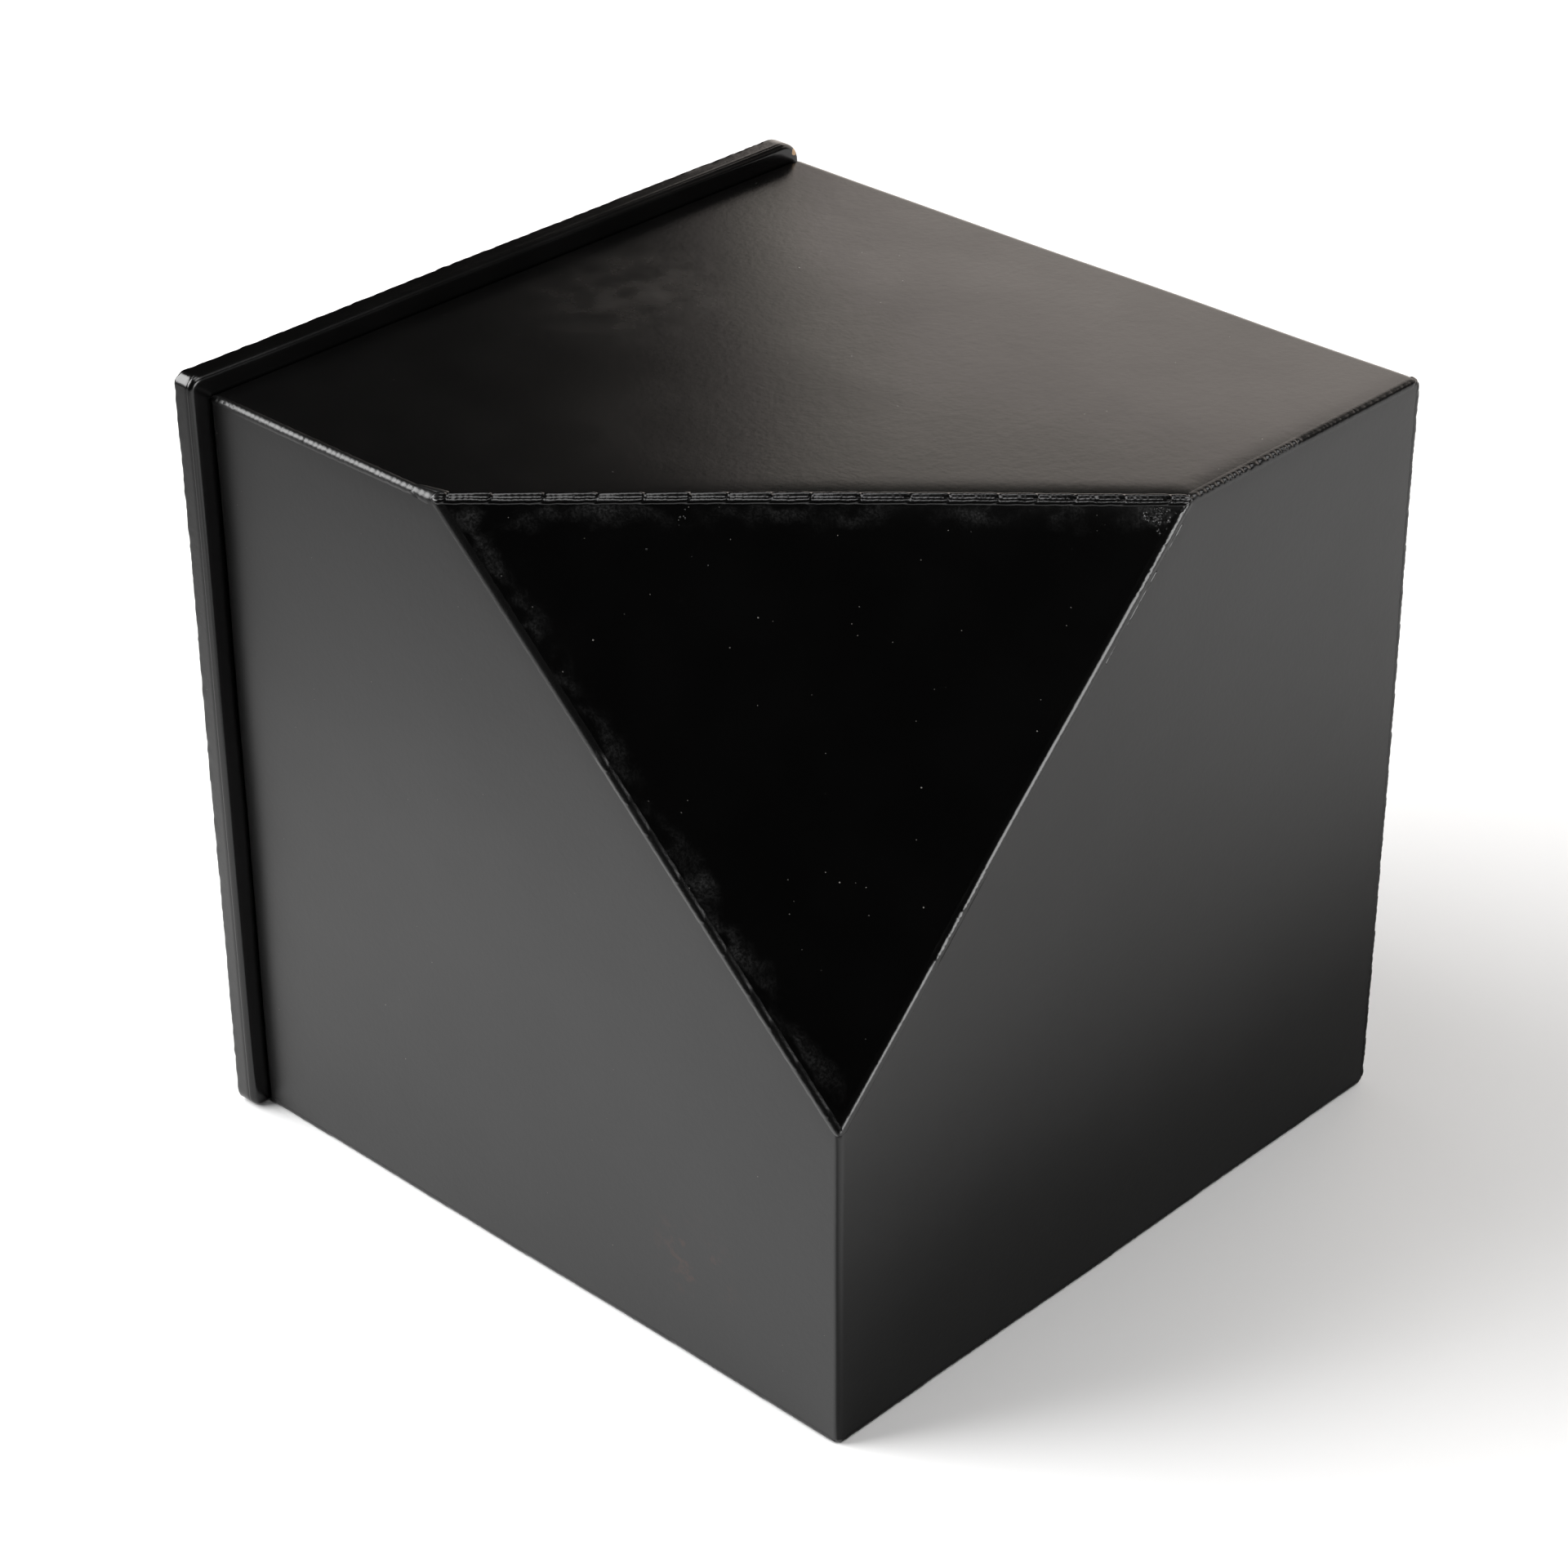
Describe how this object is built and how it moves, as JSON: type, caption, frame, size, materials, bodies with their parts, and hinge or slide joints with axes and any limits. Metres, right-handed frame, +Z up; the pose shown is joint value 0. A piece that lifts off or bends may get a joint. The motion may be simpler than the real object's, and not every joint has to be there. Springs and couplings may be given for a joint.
{
  "type": "cut-corner box with loose lid",
  "caption": "Welded sheet-steel cube, painted black, with one corner cut off and closed by a triangular facet, and a loose tray lid with a locating lip on one side.",
  "frame": {"origin": "centre of the footprint of the box and its lid, on the surface that the box stands on", "axes": "+Z up, +X towards the right wall opposite the lid, -Y towards the front wall; the lid lies on the -X side"},
  "size_m": [0.3094, 0.308, 0.308],
  "materials": {
    "box_paint": "satin black paint with fine orange peel, dust and light scratches",
    "weld_paint": "satin black paint over rippled weld beads",
    "inner_paint": "thin matt black paint over flat bar",
    "lid_paint": "satin black paint, chipped to a buff primer at one corner"
  },
  "bodies": {
    "box": {"front_right_wrap": "box_paint", "top_back_bottom_wrap": "box_paint", "corner_facet": "box_paint", "weld_top_front": "weld_paint", "weld_top_right": "weld_paint", "weld_back_right": "weld_paint", "weld_bottom_front": "weld_paint", "weld_bottom_right": "weld_paint", "weld_facet_top": "weld_paint", "weld_facet_front": "weld_paint", "weld_facet_right": "weld_paint", "rim_bar_top": "inner_paint", "rim_bar_bottom": "inner_paint", "rim_bar_front": "inner_paint", "rim_bar_back": "inner_paint", "rim_tack_top_1": "weld_paint", "rim_tack_top_2": "weld_paint", "rim_tack_bottom_1": "weld_paint", "rim_tack_bottom_2": "weld_paint", "rim_tack_front_1": "weld_paint", "rim_tack_front_2": "weld_paint", "rim_tack_back_1": "weld_paint", "rim_tack_back_2": "weld_paint"},
    "lid": {"lid_pan": "lid_paint", "lid_lip_top": "inner_paint", "lid_lip_bottom": "inner_paint", "lid_lip_front": "inner_paint", "lid_lip_back": "inner_paint", "lid_tack_top_1": "weld_paint", "lid_tack_top_2": "weld_paint", "lid_tack_bottom_1": "weld_paint", "lid_tack_bottom_2": "weld_paint", "lid_tack_front_1": "weld_paint", "lid_tack_front_2": "weld_paint", "lid_tack_back_1": "weld_paint", "lid_tack_back_2": "weld_paint"}
  },
  "joints": [
    {"name": "lid_lift_off", "type": "slide", "parent": "box", "child": "lid", "axis": [-1, 0, 0], "range_m": [0, 0.1]}
  ]
}
